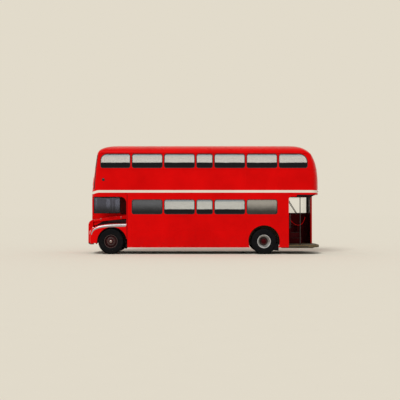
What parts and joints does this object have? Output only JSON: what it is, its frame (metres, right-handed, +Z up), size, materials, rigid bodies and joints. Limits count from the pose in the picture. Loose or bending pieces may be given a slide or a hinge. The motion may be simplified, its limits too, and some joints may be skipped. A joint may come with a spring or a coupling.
{
  "type": "double decker bus",
  "caption": "Half-cab double decker bus with an open rear platform, stairs, seats, steered front wheels and twin rear wheels.",
  "frame": {"origin": "on the ground at the middle of the bus's length and width", "axes": "+X forward, +Y to the nearside (left), +Z up"},
  "size_m": [9.2, 2.44, 4.2968],
  "materials": {
    "red_paint": "gloss",
    "maroon_paint": "semi-gloss",
    "cream_panel": "gloss",
    "black_paint": "semi-gloss",
    "chassis_paint": "satin",
    "cast_parts": "rough",
    "polished_rail": "polished",
    "deck_floor": "matt",
    "seat_fabric": "woven",
    "tyre": "matt",
    "glass": "clear",
    "lamp_glass": "clear",
    "wheel_black": "satin"
  },
  "bodies": {
    "body": {"chassis_frame": "chassis_paint", "engine": "cast_parts", "gearbox_and_propshaft": "cast_parts", "fuel_tank": "chassis_paint", "front_axle": "chassis_paint", "rear_axle": "chassis_paint", "lower_deck_floor": "deck_floor", "platform": "deck_floor", "lower_side_left": "red_paint", "lower_side_right": "red_paint", "lower_rear_wall": "red_paint", "bulkheads": "red_paint", "upper_deck_floor": "deck_floor", "upper_side_left": "red_paint", "upper_side_right": "red_paint", "upper_front": "red_paint", "upper_rear": "red_paint", "roof": "red_paint", "cab_body": "red_paint", "steering_wheel": "wheel_black", "cab_seat": "seat_fabric", "nose_grille": "red_paint", "engine_side_panel": "black_paint", "wing_left": "red_paint", "canopy_edges": "red_paint", "lamps_and_mirrors": "lamp_glass", "blank_plates": "black_paint", "staircase": "maroon_paint", "platform_rails": "polished_rail", "lower_seats": "seat_fabric", "upper_seats": "seat_fabric", "lower_glass": "glass", "upper_glass": "glass"},
    "cab_door": {"cab_door": "red_paint"},
    "bonnet": {"bonnet": "red_paint"},
    "emergency_window": {"emergency_window": "red_paint"},
    "knuckle_left": {"knuckle_left": "cast_parts"},
    "knuckle_right": {"knuckle_right": "cast_parts"},
    "track_rod": {"track_rod": "cast_parts"},
    "wheel_front_left": {"tyre_front_left": "tyre", "rim_front_left": "maroon_paint"},
    "wheel_front_right": {"tyre_front_right": "tyre", "rim_front_right": "maroon_paint"},
    "wheel_rear_left": {"tyre_rear_left": "tyre", "rim_rear_left": "maroon_paint"},
    "wheel_rear_right": {"tyre_rear_right": "tyre", "rim_rear_right": "maroon_paint"}
  },
  "joints": [
    {"name": "cab_door_hinge", "type": "hinge", "parent": "body", "child": "cab_door", "pos_m": [3.837, -1.212, 1.73], "axis": [0, 0, 1], "range_deg": [0, 75]},
    {"name": "bonnet_hinge", "type": "hinge", "parent": "body", "child": "bonnet", "pos_m": [3.7, -0.17, 1.48266], "axis": [0.9921, 0, -0.1257], "range_deg": [0, 60]},
    {"name": "emergency_window_hinge", "type": "hinge", "parent": "body", "child": "emergency_window", "pos_m": [-4.378, 0, 3.756], "axis": [0, 1, 0], "range_deg": [0, 60]},
    {"name": "steer_left", "type": "hinge", "parent": "body", "child": "knuckle_left", "pos_m": [3.637, 0.9, 0.5], "axis": [0, 0, 1], "range_deg": [-35, 35]},
    {"name": "steer_right", "type": "hinge", "parent": "body", "child": "knuckle_right", "pos_m": [3.637, -0.9, 0.5], "axis": [0, 0, 1], "range_deg": [-35, 35]},
    {"name": "track_rod_pivot", "type": "hinge", "parent": "knuckle_left", "child": "track_rod", "pos_m": [3.417, 0.9, 0.37], "axis": [0, 0, 1], "range_deg": [-35, 35]},
    {"name": "spin_front_left", "type": "hinge", "parent": "knuckle_left", "child": "wheel_front_left", "pos_m": [3.637, 1.062, 0.5], "axis": [0, 1, 0], "continuous": true},
    {"name": "spin_front_right", "type": "hinge", "parent": "knuckle_right", "child": "wheel_front_right", "pos_m": [3.637, -1.062, 0.5], "axis": [0, 1, 0], "continuous": true},
    {"name": "spin_rear_left", "type": "hinge", "parent": "body", "child": "wheel_rear_left", "pos_m": [-2.344, 1, 0.5], "axis": [0, 1, 0], "continuous": true},
    {"name": "spin_rear_right", "type": "hinge", "parent": "body", "child": "wheel_rear_right", "pos_m": [-2.344, -1, 0.5], "axis": [0, 1, 0], "continuous": true}
  ],
  "couplings": [
    {"joint": "steer_right", "follows": "steer_left", "ratio": 1},
    {"joint": "track_rod_pivot", "follows": "steer_left", "ratio": -1}
  ]
}
